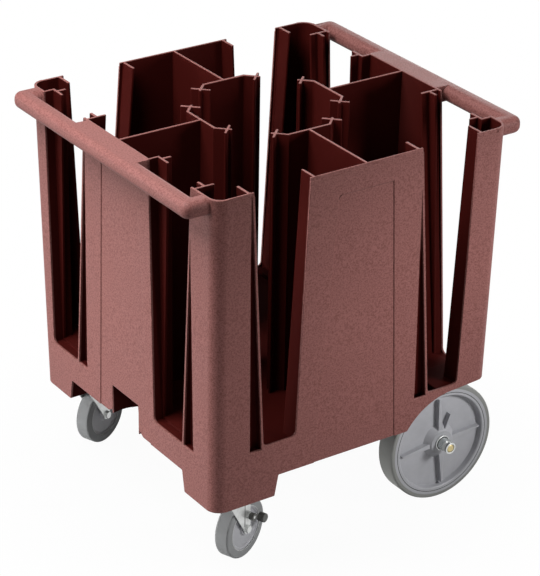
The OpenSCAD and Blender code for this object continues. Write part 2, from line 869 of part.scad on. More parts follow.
// Handle: a bar across the end, turned back into both posts, and flush with the panel
module handle()
    color(brown) difference() {
        union() {
            bar_between([-bar_x, -bar_y], [-bar_x, bar_y]);
            for (s = [-1, 1]) bar_between([-bar_x, s*bar_y], [-half_l(body_h), s*bar_y]);
            box([-bar_x, -half_l(bar_under)], [-bar_pad_w/2, bar_pad_w/2], [bar_under, body_h]);
        }
        envelope(0, bar_under - cut, body_h + cut);
    }

module handle_front() handle();
module handle_rear() half_turn() handle();

// Fixed wheels. In a wheel's own frame Z points out along the axle.
boss_h = wheel_w/2 + boss_out;
washer_y = wheel_y + boss_h + gap;
collar_y = washer_y + washer_t;
spacer_y = wheel_y - boss_h - gap;
rod_h = collar_y + collar_l + axle_end;

module at_wheel(side)
    translate([axle_x, side*wheel_y, wheel_r]) rotate([-90*side, 0, 0]) children();

module on_axle(side, y)
    translate([axle_x, side*y, wheel_r]) rotate([-90*side, 0, 0]) children();

module ring(outer, inner, h)
    difference() {
        cylinder(r = outer, h = h);
        translate([0, 0, -cut]) cylinder(r = inner, h = h + 2*cut);
    }

module rib(reach, root_t, tip_t)
    linear_extrude(wheel_w - 2*boss_out, center = true)
        polygon([
            [bushing_d/2 + wall, -root_t/2], [reach, -tip_t/2], [reach, tip_t/2],
            [bushing_d/2 + wall, root_t/2]
        ]);

module wheel_hub(side) {
    web = wheel_w/2 - wheel_dish;
    half_profile = [
        [bushing_d/2 + fit, boss_h], [boss_d/2, boss_h], [cone_d/2, web],
        [wheel_rim_d/2 - soft_r, web], [wheel_rim_d/2, wheel_w/2 - soft_r],
        [wheel_rim_d/2 + soft_r, wheel_w/2], [wheel_seat_d/2, wheel_w/2]
    ];
    last = len(half_profile) - 1;
    color(hub_grey) at_wheel(side) {
        rotate_extrude() polygon(concat(
            half_profile,
            [for (i = [last:-1:0]) [half_profile[i].x, -half_profile[i].y]]
        ));
        for (a = [0:90:270]) rotate(a + rib_turn) rib(rib_r, rib_root_t, rib_tip_t);
        rotate(90 + rib_turn - fin_turn) rib(fin_r, rib_tip_t, rib_tip_t);
    }
}

module wheel_hub_right() wheel_hub(-1);
module wheel_hub_left() wheel_hub(1);

// Tyre section: a flat tread with rounded shoulders
module tyre(outer, inner, w, r)
    rotate_extrude() {
        translate([inner, -w/2]) square([outer - inner - r, w]);
        translate([inner, r - w/2]) square([outer - inner, w - 2*r]);
        for (s = [-1, 1]) translate([outer - r, s*(w/2 - r)]) circle(r, $fn = hull_fn);
    }

module wheel_tyre(side) color(tyre_grey) at_wheel(side) tyre(wheel_r, wheel_seat_d/2, wheel_w, 2*soft_r);

module wheel_tyre_right() wheel_tyre(-1);
module wheel_tyre_left() wheel_tyre(1);

module wheel_bushing(side)
    color(dark) on_axle(side, wheel_y - boss_h) ring(bushing_d/2, axle_d/2 + fit, 2*boss_h);

module wheel_bushing_right() wheel_bushing(-1);
module wheel_bushing_left() wheel_bushing(1);

module axle_spacer(side)
    color(zinc) on_axle(side, hood_y - wall) ring(washer_d/2, axle_d/2 + fit, spacer_y - hood_y + wall);

module axle_spacer_right() axle_spacer(-1);
module axle_spacer_left() axle_spacer(1);

module axle_washer(side) color(zinc) on_axle(side, washer_y) ring(washer_d/2, axle_d/2 + fit, washer_t);

module axle_washer_right() axle_washer(-1);
module axle_washer_left() axle_washer(1);

module axle_collar(side)
    color(zinc) on_axle(side, collar_y) difference() {
        ring(collar_d/2, axle_d/2 + fit, collar_l);
        translate([0, 0, collar_l - 2*collar_groove_w])
            ring(collar_d, collar_d/2 - collar_groove, collar_groove_w);
    }

module axle_collar_right() axle_collar(-1);
module axle_collar_left() axle_collar(1);

// One rod carries both fixed wheels; its ends are chamfered
module axle_rod()
    color(yellow_zinc) translate([axle_x, 0, wheel_r]) rotate([90, 0, 0]) {
        cylinder(r = axle_d/2, h = 2*(rod_h - soft_r), center = true);
        for (s = [0, 1]) mirror([0, 0, s]) translate([0, 0, rod_h - soft_r])
            cylinder(r1 = axle_d/2, r2 = axle_d/2 - soft_r, h = soft_r);
    }

// Casters. In a caster's own frame the kingpin is at the origin and the wheel trails along X.
plate_under = caster_h - plate_t;
race_under = plate_under - race_h;
crown_top = race_under - gap;
crown_under = crown_top - fork_t;
caster_r = caster_d/2;
leg_in = caster_w/2 + soft_r/2;
leg_out = leg_in + fork_t;
fork_r = caster_nut_w/2 + fork_t;
brake_z = caster_r + brake_rise;
lever_in = leg_out + gap;
lever_out = lever_in + lever_t;

module at_plate(side) translate([-kingpin_x, side*kingpin_y, 0]) children();

module at_caster(side) at_plate(side) rotate(side < 0 ? right_turn : left_turn) children();

module bolt_places(side)
    at_plate(side) for (x = [-1, 1], y = [-1, 1]) translate([x*bolt_l/2, y*bolt_w/2, 0]) children();

module caster_plate(side)
    color(zinc) difference() {
        at_plate(side) translate([0, 0, plate_under]) linear_extrude(plate_t)
            rounded(plate_l/2, plate_w/2, 2*soft_r);
        bolt_places(side) cylinder(r = bolt_d/2 + bolt_gap, h = through_cut, center = true);
        at_plate(side) cylinder(r = kingpin_d/2 + fit, h = through_cut, center = true);
    }

module caster_plate_right() caster_plate(-1);
module caster_plate_left() caster_plate(1);

// Hexagon bolts up through the plate and the foot, each with its nut
module plate_bolts(side)
    color(zinc) bolt_places(side) {
        for (z = [plate_under - bolt_head_h, caster_h + wall])
            translate([0, 0, z]) cylinder(r = bolt_head_w/sqrt(3), h = bolt_head_h, $fn = 6);
        translate([0, 0, plate_under - bolt_head_h/2])
            cylinder(r = bolt_d/2, h = plate_t + wall + 2*bolt_head_h);
    }

module plate_bolts_right() plate_bolts(-1);
module plate_bolts_left() plate_bolts(1);

module swivel_race(side)
    color(zinc) at_plate(side) translate([0, 0, race_under]) difference() {
        rotate_extrude() polygon([
            [0, 0], [race_d/2, 0], [race_d/2, race_h/2], [race_d/2 - race_h/2, race_h], [0, race_h]
        ]);
        cylinder(r = kingpin_d/2 + fit, h = through_cut, center = true);
    }

module swivel_race_right() swivel_race(-1);
module swivel_race_left() swivel_race(1);

// Kingpin, riveted flush with the plate, with a head below the fork
module kingpin(side) {
    head = fork_t + soft_r/2;
    color(zinc) at_plate(side) {
        translate([0, 0, crown_under - gap - head])
            cylinder(r = kingpin_d/2, h = caster_h - crown_under + gap + head);
        translate([0, 0, crown_under - gap - head]) cylinder(r = kingpin_d, h = head);
    }
}

module kingpin_right() kingpin(-1);
module kingpin_left() kingpin(1);

// Pressed fork: a bored crown and two legs down to the axle
module caster_fork(side)
    color(zinc) at_caster(side) difference() {
        union() {
            translate([0, 0, crown_under]) linear_extrude(fork_t) {
                circle(race_d/2 + soft_r);
                translate([0, -leg_out]) square([trail + fork_r, 2*leg_out]);
            }
            for (y = [-leg_in, leg_out]) translate([0, y, 0]) rotate([90, 0, 0]) linear_extrude(fork_t) {
                translate([trail, caster_r]) circle(fork_r);
                polygon([
                    [trail - fork_r, caster_r], [trail + fork_r, caster_r],
                    [trail + fork_r, crown_top], [-fork_back, crown_top],
                    [-fork_back, crown_under - fork_r]
                ]);
            }
        }
        cylinder(r = kingpin_d/2 + fit, h = through_cut, center = true);
        translate([trail, 0, caster_r]) rotate([90, 0, 0])
            cylinder(r = caster_axle_d/2 + fit, h = through_cut, center = true);
    }

module caster_fork_right() caster_fork(-1);
module caster_fork_left() caster_fork(1);

module at_caster_axle(side)
    at_caster(side) translate([trail, 0, caster_r]) rotate([90, 0, 0]) children();

// Axle bolt with its head on the outer side
module caster_axle(side)
    color(zinc) at_caster_axle(side) {
        translate([0, 0, -leg_out - caster_nut_h - soft_r])
            cylinder(r = caster_axle_d/2, h = 2*leg_out + stud_share*caster_nut_h + soft_r);
        translate([0, 0, leg_out]) cylinder(r = caster_nut_w/sqrt(3), h = caster_nut_h, $fn = 6);
    }

module caster_axle_right() caster_axle(-1);
module caster_axle_left() caster_axle(1);

module caster_nut(side)
    color(zinc) at_caster_axle(side) translate([0, 0, -leg_out - caster_nut_h]) difference() {
        cylinder(r = caster_nut_w/sqrt(3), h = caster_nut_h, $fn = 6);
        cylinder(r = caster_axle_d/2 + fit, h = through_cut, center = true);
    }

module caster_nut_right() caster_nut(-1);
module caster_nut_left() caster_nut(1);

module caster_sleeve(side)
    color(zinc) at_caster_axle(side) translate([0, 0, -leg_in])
        ring(sleeve_d/2, caster_axle_d/2 + fit, 2*leg_in);

module caster_sleeve_right() caster_sleeve(-1);
module caster_sleeve_left() caster_sleeve(1);

module caster_hub(side) {
    boss = leg_in - gap;
    dish = caster_w/2 - caster_dish;
    rim = caster_w/2 - soft_r/2;
    hub_r = caster_hub_d/2;
    half_profile = [
        [sleeve_d/2 + fit, boss], [sleeve_d, boss], [sleeve_d + caster_dish, dish],
        [hub_r - 2*caster_dish, dish], [hub_r - caster_dish, rim], [hub_r, rim]
    ];
    last = len(half_profile) - 1;
    color(hub_grey) at_caster_axle(side) rotate_extrude() polygon(concat(
        half_profile,
        [for (i = [last:-1:0]) [half_profile[i].x, -half_profile[i].y]]
    ));
}

module caster_hub_right() caster_hub(-1);
module caster_hub_left() caster_hub(1);

module caster_tyre(side)
    color(tyre_grey) at_caster_axle(side) tyre(caster_r, caster_hub_d/2, caster_w, 2*soft_r);

module caster_tyre_right() caster_tyre(-1);
module caster_tyre_left() caster_tyre(1);

// Brake on the outer fork leg: a fixed pin, a lever and its two dark caps
module at_brake(side)
    at_caster(side) translate([brake_s, 0, brake_z]) rotate([90, 0, 0]) children();

module brake_pin(side)
    color(zinc) at_brake(side) translate([0, 0, leg_out])
        cylinder(r = brake_pin_d/2, h = gap + lever_t + barrel_l);

module brake_pin_right() brake_pin(-1);
module brake_pin_left() brake_pin(1);

module brake_lever(side)
    color(zinc) at_brake(side) translate([0, 0, lever_in]) rotate(-brake_slope) difference() {
        linear_extrude(lever_t) {
            circle(lever_w/2 + soft_r);
            translate([0, -lever_w/2]) square([brake_l, lever_w]);
            translate([brake_l, 0]) circle(lever_w/2 + soft_r);
        }
        cylinder(r = brake_pin_d/2 + fit, h = through_cut, center = true);
    }

module brake_lever_right() brake_lever(-1);
module brake_lever_left() brake_lever(1);

module brake_tip(side)
    color(dark) at_brake(side) translate([0, 0, lever_out]) {
        ring(barrel_d/2, brake_pin_d/2 + fit, barrel_l);
        rotate(-brake_slope) translate([brake_l, 0, 0]) rotate_extrude() {
            square([tip_d/2, tip_l - soft_r]);
            square([tip_d/2 - soft_r, tip_l]);
            translate([tip_d/2 - soft_r, tip_l - soft_r]) circle(soft_r, $fn = hull_fn);
        }
    }

module brake_tip_right() brake_tip(-1);
module brake_tip_left() brake_tip(1);

base_deck();
column_floors();
skirt_front();
skirt_rear();
skirt_right();
skirt_left();
caster_pad_right();
caster_pad_left();
axle_leg_right();
axle_leg_left();
post_front_right();
post_front_left();
post_rear_right();
post_rear_left();
tower_front();
tower_rear();
tower_right();
tower_left();
handle_front();
handle_rear();
axle_rod();
wheel_hub_right();
wheel_hub_left();
wheel_tyre_right();
wheel_tyre_left();
wheel_bushing_right();
wheel_bushing_left();
axle_spacer_right();
axle_spacer_left();
axle_washer_right();
axle_washer_left();
axle_collar_right();
axle_collar_left();
caster_plate_right();
caster_plate_left();
plate_bolts_right();
plate_bolts_left();
swivel_race_right();
swivel_race_left();
kingpin_right();
kingpin_left();
caster_fork_right();
caster_fork_left();
caster_axle_right();
caster_axle_left();
caster_nut_right();
caster_nut_left();
caster_sleeve_right();
caster_sleeve_left();
caster_hub_right();
caster_hub_left();
caster_tyre_right();
caster_tyre_left();
brake_pin_right();
brake_pin_left();
brake_lever_right();
brake_lever_left();
brake_tip_right();
brake_tip_left();
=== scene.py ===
"""Looks of the plate dispenser cart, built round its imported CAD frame. Metres, Z up."""
import json
import math

import bmesh
import bpy
from mathutils import Matrix, Vector

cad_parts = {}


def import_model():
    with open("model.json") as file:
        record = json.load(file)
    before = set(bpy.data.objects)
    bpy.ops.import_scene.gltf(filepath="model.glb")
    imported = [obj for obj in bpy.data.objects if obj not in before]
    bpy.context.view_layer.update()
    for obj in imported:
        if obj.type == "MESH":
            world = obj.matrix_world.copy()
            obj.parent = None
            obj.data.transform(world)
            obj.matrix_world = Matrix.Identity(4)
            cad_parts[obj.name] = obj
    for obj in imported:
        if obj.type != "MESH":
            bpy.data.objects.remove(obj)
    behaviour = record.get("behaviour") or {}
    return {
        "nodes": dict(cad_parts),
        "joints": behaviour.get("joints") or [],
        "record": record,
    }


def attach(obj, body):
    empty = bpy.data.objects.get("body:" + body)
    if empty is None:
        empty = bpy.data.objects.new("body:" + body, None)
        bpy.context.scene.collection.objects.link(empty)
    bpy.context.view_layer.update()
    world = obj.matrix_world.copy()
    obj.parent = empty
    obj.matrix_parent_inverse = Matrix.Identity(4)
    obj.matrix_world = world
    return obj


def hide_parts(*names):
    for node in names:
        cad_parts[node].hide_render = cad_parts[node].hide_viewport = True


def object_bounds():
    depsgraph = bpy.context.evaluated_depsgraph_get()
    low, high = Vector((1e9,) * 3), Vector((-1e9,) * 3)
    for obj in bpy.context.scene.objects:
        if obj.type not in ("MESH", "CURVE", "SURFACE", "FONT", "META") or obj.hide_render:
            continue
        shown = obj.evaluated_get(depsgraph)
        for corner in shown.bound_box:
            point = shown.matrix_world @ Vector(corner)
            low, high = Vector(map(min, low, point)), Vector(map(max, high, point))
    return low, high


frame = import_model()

CAD_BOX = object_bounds()
MM = 0.001
UP = Vector((0.0, 0.0, 1.0))

# Each side's name, and its direction along Y
SIDES = (("right", -1.0), ("left", 1.0))

# Camera of the photograph
PICTURE_W = 540
PICTURE_H = 576
FOCAL_PX = 2441.46
SENSOR_MM = 36.0
CLIP_END = 60.0
CAMERA_AT = Vector((-2.48750, -3.64755, 2.62808))
CAMERA_YAW = math.radians(34.484)
CAMERA_PITCH = math.radians(26.588)
CAMERA_ROLL = math.radians(0.944)

# Lamps: name, place, diameter, watts, aim, and spread in degrees
LAMPS = (
    ("left", (-2.2, 1.1, 0.6), 1.2, 7.0, (-0.33, -0.05, 0.10), 60.0),
    ("right", (0.95, -1.5, 1.0), 0.5, 2.65, (0.12, -0.33, 0.46), 57.0),
    ("top", (-1.0, 0.1, 2.1), 1.1, 45.0, (-0.1, 0.0, 0.75), 180.0),
    ("back", (2.4, 2.0, 1.5), 1.4, 26.0, (0.0, 0.0, 0.45), 180.0),
)

# Surroundings: the floor shows a little less white near the cart, which keeps its shadow
WHITE = (1.0, 1.0, 1.0)
WORLD_FILL = 0.045
FLOOR_SIZE = 60.0
FLOOR_Z = -0.0005
FLOOR_PALE = (0.42, 0.42, 0.42)
FLOOR_WHITE_NEAR = 0.965
FLOOR_NEAR = 0.35
FLOOR_FAR = 0.75

# Walls of the body, as drafted in the frame, and the depths at which the painted shade of the
# inner faces begins
RIM_Z = 0.820
RIM_HALF_X = 0.336
RIM_HALF_Y = 0.340
FLOOR_HALF = 0.324
CORNER_R = 0.028
INSIDE_DEPTH = 0.0025
RIM_BAND_TOP = 0.0005
RIM_BAND_FOOT = 0.0015

# Colours, linear
BROWN = (0.250, 0.099, 0.090)
BROWN_SPECK = (0.105, 0.026, 0.020)
# Pale brown, for random clouds and for the painted highlight along edges
BROWN_PALE = (0.310, 0.135, 0.115)
# Painted shade: the darker brown of the inner faces
BROWN_INSIDE_SHADE = (0.040, 0.003, 0.002)
HUB_GREY = (0.440, 0.440, 0.466)
HUB_CLOUD = (0.20, 0.20, 0.215)
TYRE_GREY = (0.260, 0.263, 0.250)
CASTER_TREAD = (0.270, 0.275, 0.278)
ZINC = (0.620, 0.630, 0.620)
DULL_ZINC = (0.260, 0.275, 0.280)
YELLOW_ZINC = (0.560, 0.460, 0.240)
DARK = (0.075, 0.075, 0.070)
DARK_CLOUD = (0.06, 0.06, 0.055)
# Painted shade: dark grey of the rings and beads along seams, gaps and folds
SEAM_SHADE_GREY = (0.060, 0.061, 0.058)
# Painted shadow: dark brown of the line under each field's upper edge
FIELD_SHADOW_BROWN = (0.060, 0.014, 0.010)
# Painted highlight: pale grey of the rings at the edges of the caster hubs
RING_HIGHLIGHT_GREY = (0.620, 0.625, 0.620)

# The moulding's finish: how much each colour shows, with the painted highlight along its edges,
# and its shine outside and inside
SPECK_SHARE = 0.75
CLOUD_SHARE = 0.12
EDGE_HIGHLIGHT_SHARE = 0.30
EDGE_DOTS = (0.75, 0.97)
OUTSIDE_ROUGH = (0.50, 0.60)
INSIDE_ROUGHER = 0.30
OUTSIDE_SPECULAR = 0.20
INSIDE_SPECULAR = 0.06

# The other finishes
HUB_ROUGH = (0.38, 0.50)
RUBBER_ROUGH = 0.62
RUBBER_SPECULAR = 0.35
RUBBER_SCUFF_SHARE = 0.25
RUBBER_WORN_PALER = 1.35
PLATE_METALLIC = 0.9
PLATE_CLOUD_TINT = 0.7
PLATE_CLOUD_ROUGHER = 0.14
DARK_ROUGH = 0.5
EDGE_SAMPLES = 4

# The moulded body: sub-parts that one moulding joins. Metres.
BODY_SLOT = "body"
COINCIDENT = 2e-7
GROWTH = 2e-6
GROWTH_AT_CORNER = 3.0
SEAM_WELD = 0.0003
SEAM_SLIVER = 2e-5
FLAT_ANGLE = math.radians(0.1)
CREASE_ANGLE = math.radians(34.0)
EDGE_ROUNDING = 0.0016
EDGE_SEGMENTS = 2
ROOM_SHARE = 0.3
WEIGHT_LEAST = 0.2

# Turned details: (radius, distance out along the wheel's axle), in mm
TURN_STEPS = 128
# Painted shade: a dark ring along the tyre's seam
TYRE_SEAM_SHADE = ((110.3, 22.3), (110.8, 22.8), (111.7, 22.8), (112.2, 22.3))
# Painted shade: a dark ring in the gap at the collar's foot
COLLAR_GAP_SHADE = ((12.3, 26.5), (15.2, 26.5), (15.2, 26.9), (12.3, 26.9))
FACETED_RING = ((15.1, 25.0), (16.8, 25.0), (16.8, 26.6), (16.0, 27.3), (15.1, 27.3))
RING_FACETS = 12
COLLAR_LIP = ((8.7, 48.5), (12.1, 48.5), (12.1, 52.7), (8.7, 52.7))
END_RING = ((8.7, 52.5), (12.3, 52.5), (12.3, 53.2), (11.6, 53.9), (9.3, 53.9), (8.7, 53.2))
# Painted highlight: a pale ring at the edge of each caster hub
CASTER_RING = ((45.1, 15.3), (45.6, 15.8), (46.5, 15.8), (47.0, 15.3))
THREAD_INNER = 12.0
THREAD_ROOT = 12.4
THREAD_CREST = 13.0
THREAD_FROM = 28.0
THREAD_PITCH = 1.4
THREAD_TURNS = 9

# Dark bead of painted shade along the fold on a caster fork's outer leg: (along the trail, out
# from the wheel's middle), in mm
GROOVE_TRAIL = 27.0
GROOVE_SECTION = ((-1.1, 19.3), (-0.7, 19.9), (0.7, 19.9), (1.1, 19.3))
GROOVE_HEIGHTS = (72.0, 84.0, 96.0, 108.0, 120.0, 126.0)

# Ribs behind the front notch, under the deck, in mm: two sides and an arched back
NOTCH_FRONT_X = -325.0
NOTCH_BACK_X = -281.0
NOTCH_HALF = 48.8
NOTCH_RIB = 4.0
NOTCH_DRAFT = 1.2
NOTCH_TOP_Z = 262.0
NOTCH_FOOT_Z = 203.5
NOTCH_SIDE_RISE = 2.5
NOTCH_SIDE_STEPS = 8
NOTCH_BACK_RISE = 19.0
NOTCH_BACK_STEPS = 12

# Dark line of painted shadow under the upper edge of a side panel's recessed field, in mm.
# Its section is (share of the half width, distance out of the field's face).
FIELD_TOP_Z = 768.4
FIELD_HALF = 62.4
FIELD_DEPTH = 1.6
FIELD_CORNER_R = 9.0
FIELD_BEND_STEP = 10
LINE_HALF_W = 0.55
LINE_SECTION = ((-1.0, -0.2), (-0.6, 0.7), (0.6, 0.7), (1.0, -0.2))


class Nodes:
    """Short calls for the nodes of one tree."""

    def __init__(self, tree):
        self.tree = tree

    def add(self, kind, **settings):
        node = self.tree.nodes.new(kind)
        for key, value in settings.items():
            setattr(node, key, value)
        return node

    def link(self, source, target):
        self.tree.links.new(source, target)

    def feed(self, value, socket):
        """Links an output, or sets a plain value on the socket."""
        if isinstance(value, bpy.types.NodeSocket):
            self.link(value, socket)
        elif isinstance(value, tuple) and socket.type == "RGBA":
            socket.default_value = (*value, 1.0)
        else:
            socket.default_value = value

    def math(self, operation, a, b=0.0, c=0.0):
        node = self.add("ShaderNodeMath", operation=operation)
        for value, socket in zip((a, b, c), node.inputs):
            self.feed(value, socket)
        return node.outputs[0]

    def ramp(self, value, low, high, out_low=0.0, out_high=1.0):
        """The value's place from low to high, as a value from out_low to out_high."""
        node = self.add("ShaderNodeMapRange", clamp=True)
        for v, name in (
            (value, "Value"), (low, "From Min"), (high, "From Max"),
            (out_low, "To Min"), (out_high, "To Max"),
        ):
            self.feed(v, node.inputs[name])
        return node.outputs["Result"]

    def white_rays(self):
        """1 for the camera's rays, reflections and transmission, 0 for all other rays."""
        path = self.add("ShaderNodeLightPath")
        seen = self.math("MAXIMUM", path.outputs["Is Camera Ray"], path.outputs["Is Glossy Ray"])
        return self.math("MAXIMUM", seen, path.outputs["Is Transmission Ray"])


class Shader(Nodes):
    """A new material, with short calls for what its surface needs."""

    def __init__(self, name):
        self.material = bpy.data.materials.new(name)
        self.material.use_nodes = True
        super().__init__(self.material.node_tree)
        self.tree.nodes.clear()
        self.output = self.add("ShaderNodeOutputMaterial")

    def place(self):
        """The point on the object, in metres."""
        return self.add("ShaderNodeTexCoord").outputs["Object"]

    def noise(self, scale, detail=3.0, rough=0.5):
        node = self.add("ShaderNodeTexNoise")
        node.inputs["Scale"].default_value = scale
        node.inputs["Detail"].default_value = detail
        node.inputs["Roughness"].default_value = rough
        self.link(self.place(), node.inputs["Vector"])
        return node.outputs["Fac"]

    def mix(self, share, a, b):
        """Two colours mixed. A mix node's sockets repeat their names, so their places are used."""
        node = self.add("ShaderNodeMix", data_type="RGBA")
        self.feed(share, node.inputs[0])
        self.feed(a, node.inputs[6])
        self.feed(b, node.inputs[7])
        return node.outputs[2]

    def soft_edges(self, radius):
        """Normals that turn gently over the edges."""
        node = self.add("ShaderNodeBevel", samples=EDGE_SAMPLES)
        node.inputs["Radius"].default_value = radius
        return node.outputs["Normal"]

    def grain(self, height, depth, strength, edge_radius):
        """Normals of a fine grain over softened edges."""
        node = self.add("ShaderNodeBump")
        node.inputs["Strength"].default_value = strength
        node.inputs["Distance"].default_value = depth
        self.link(height, node.inputs["Height"])
        self.link(self.soft_edges(edge_radius), node.inputs["Normal"])
        return node.outputs["Normal"]

    def edge_mask(self, radius, turned, flat):
        """1 along edges, 0 on flat faces, by how far the softened normals turn from the true."""
        true = self.add("ShaderNodeNewGeometry").outputs["True Normal"]
        dot = self.add("ShaderNodeVectorMath", operation="DOT_PRODUCT")
        self.link(self.soft_edges(radius), dot.inputs[0])
        self.link(true, dot.inputs[1])
        return self.ramp(dot.outputs["Value"], flat, turned)

    def surface(self, colour, roughness, normal, metallic=0.0, specular=0.5):
        """The finished material."""
        node = self.add("ShaderNodeBsdfPrincipled")
        self.feed(colour, node.inputs["Base Color"])
        self.feed(roughness, node.inputs["Roughness"])
        self.feed(metallic, node.inputs["Metallic"])
        self.feed(specular, node.inputs["Specular IOR Level"])
        self.link(normal, node.inputs["Normal"])
        self.link(node.outputs[0], self.output.inputs["Surface"])
        return self.material


def wall_depth(s):
    """Depth inside the drafted walls with their rounded corners, 0 on the outer faces; and Z."""
    split = s.add("ShaderNodeSeparateXYZ")
    s.link(s.place(), split.inputs[0])
    x, y, z = split.outputs
    over = []
    for axis, rim_half in ((x, RIM_HALF_X), (y, RIM_HALF_Y)):
        lean = (rim_half - FLOOR_HALF) / RIM_Z
        wall = s.math("MULTIPLY_ADD", z, lean, FLOOR_HALF - CORNER_R)
        over.append(s.math("SUBTRACT", s.math("ABSOLUTE", axis), wall))
    past = [s.math("MAXIMUM", q, 0.0) for q in over]
    squares = [s.math("POWER", q, 2.0) for q in past]
    round_part = s.math("SQRT", s.math("ADD", squares[0], squares[1]))
    flat_part = s.math("MINIMUM", s.math("MAXIMUM", over[0], over[1]), 0.0)
    return s.math("SUBTRACT", CORNER_R, s.math("ADD", round_part, flat_part)), z


def inside_shade_mask(s):
    """1 on faces that lie inside the body's drafted walls, 0 on its outer faces and its rim: where
    the inner faces get their painted shade.
    """
    depth, z = wall_depth(s)
    below_rim = s.ramp(z, RIM_Z - RIM_BAND_TOP, RIM_Z - RIM_BAND_FOOT)
    return s.math("MULTIPLY", s.ramp(depth, INSIDE_DEPTH, 2 * INSIDE_DEPTH), below_rim)


def moulded_brown():
    """Pebbled brown moulding: a speckled outside with a painted highlight along its edges, and
    duller inner faces darkened with painted shade.
    """
    s = Shader("moulded_brown")
    speck = s.ramp(s.noise(scale=300.0, rough=0.75), 0.38, 0.56, SPECK_SHARE, 0.0)
    cloud = s.ramp(s.noise(scale=9.0, detail=4.0, rough=0.6), 0.30, 0.70)
    edges = s.edge_mask(EDGE_ROUNDING, *EDGE_DOTS)
    face = s.mix(speck, BROWN, BROWN_SPECK)
    face = s.mix(s.math("MULTIPLY", cloud, CLOUD_SHARE), face, BROWN_PALE)
    # Painted highlight: paler brown along the edges
    face = s.mix(s.math("MULTIPLY", edges, EDGE_HIGHLIGHT_SHARE), face, BROWN_PALE)
    inside = inside_shade_mask(s)
    # Painted shade: a darker brown on the inner faces
    colour = s.mix(inside, face, BROWN_INSIDE_SHADE)
    pebbles = s.noise(scale=900.0, detail=2.0)
    normal = s.grain(pebbles, depth=0.0006, strength=0.35, edge_radius=0.0012)
    rough = s.math("MULTIPLY_ADD", inside, INSIDE_ROUGHER, s.ramp(cloud, 0.0, 1.0, *OUTSIDE_ROUGH))
    specular = s.ramp(inside, 0.0, 1.0, OUTSIDE_SPECULAR, INSIDE_SPECULAR)
    return s.surface(colour, rough, normal, specular=specular)


def grey_plastic():
    """Smooth grey hub plastic with faint flow marks."""
    s = Shader("grey_plastic")
    cloud = s.noise(scale=26.0, detail=4.0, rough=0.6)
    colour = s.mix(s.ramp(cloud, 0.35, 0.70, out_high=0.18), HUB_GREY, HUB_CLOUD)
    normal = s.grain(s.noise(scale=420.0), depth=0.0003, strength=0.2, edge_radius=0.0012)
    return s.surface(colour, s.ramp(cloud, 0.3, 0.7, *HUB_ROUGH), normal)


def grey_rubber(name, colour):
    """Dull rubber with fine grain and scuffs."""
    s = Shader(name)
    scuffs = s.noise(scale=60.0, detail=6.0, rough=0.7)
    scuff = s.ramp(scuffs, 0.48, 0.75, out_high=RUBBER_SCUFF_SHARE)
    worn = tuple(min(1.0, RUBBER_WORN_PALER * c) for c in colour)
    grain = s.noise(scale=1500.0, detail=2.0)
    normal = s.grain(grain, depth=0.0003, strength=0.3, edge_radius=0.001)
    face = s.mix(scuff, colour, worn)
    return s.surface(face, RUBBER_ROUGH, normal, specular=RUBBER_SPECULAR)


def plated_steel(name, colour, rough):
    """Zinc plate: bright, with soft clouds and fine drawing marks."""
    s = Shader(name)
    cloud = s.noise(scale=90.0, detail=4.0, rough=0.6)
    tint = tuple(PLATE_CLOUD_TINT * c for c in colour)
    face = s.mix(s.ramp(cloud, 0.35, 0.7, out_high=0.5), colour, tint)
    normal = s.grain(s.noise(scale=700.0), depth=0.0002, strength=0.25, edge_radius=0.0006)
    roughness = s.ramp(cloud, 0.3, 0.7, rough, rough + PLATE_CLOUD_ROUGHER)
    return s.surface(face, roughness, normal, metallic=PLATE_METALLIC)


def dark_plastic():
    """Dark plastic with soft clouds, for the frame's dark slot."""
    s = Shader("dark_plastic")
    cloud = s.noise(scale=70.0, detail=4.0, rough=0.6)
    colour = s.mix(s.ramp(cloud, 0.4, 0.7, out_high=0.5), DARK, DARK_CLOUD)
    normal = s.grain(s.noise(scale=1200.0), depth=0.0003, strength=0.3, edge_radius=0.001)
    return s.surface(colour, DARK_ROUGH, normal)


def linked(name, data):
    """A new object in the scene."""
    obj = bpy.data.objects.new(name, data)
    bpy.context.scene.collection.objects.link(obj)
    return obj


def grown_copy(node):
    """A closed copy of a CAD node, larger by a hair, so that sub-parts that meet overlap."""
    mesh = bmesh.new()
    mesh.from_mesh(frame["nodes"][node].data)
    bmesh.ops.remove_doubles(mesh, verts=mesh.verts, dist=COINCIDENT)
    mesh.normal_update()
    shifts = [
        (vert, vert.normal * GROWTH * min(GROWTH_AT_CORNER, vert.calc_shell_factor()))
        for vert in mesh.verts
    ]
    for vert, shift in shifts:
        vert.co += shift
    data = bpy.data.meshes.new(node + "_copy")
    mesh.to_mesh(data)
    mesh.free()
    return data


def bake(obj):
    """Makes the shape of a new piece's modifiers its own mesh."""
    graph = bpy.context.evaluated_depsgraph_get()
    data = bpy.data.meshes.new_from_object(obj.evaluated_get(graph))
    obj.modifiers.clear()
    obj.data = data


def joined(name, nodes):
    """One closed object from CAD nodes that touch."""
    whole = linked(name, grown_copy(nodes[0]))
    for node in nodes[1:]:
        other = linked(node + "_copy", grown_copy(node))
        union = whole.modifiers.new("union", "BOOLEAN")
        union.operation = "UNION"
        union.solver = "MANIFOLD"
        union.object = other
        bake(whole)
        bpy.data.objects.remove(other)
    return whole


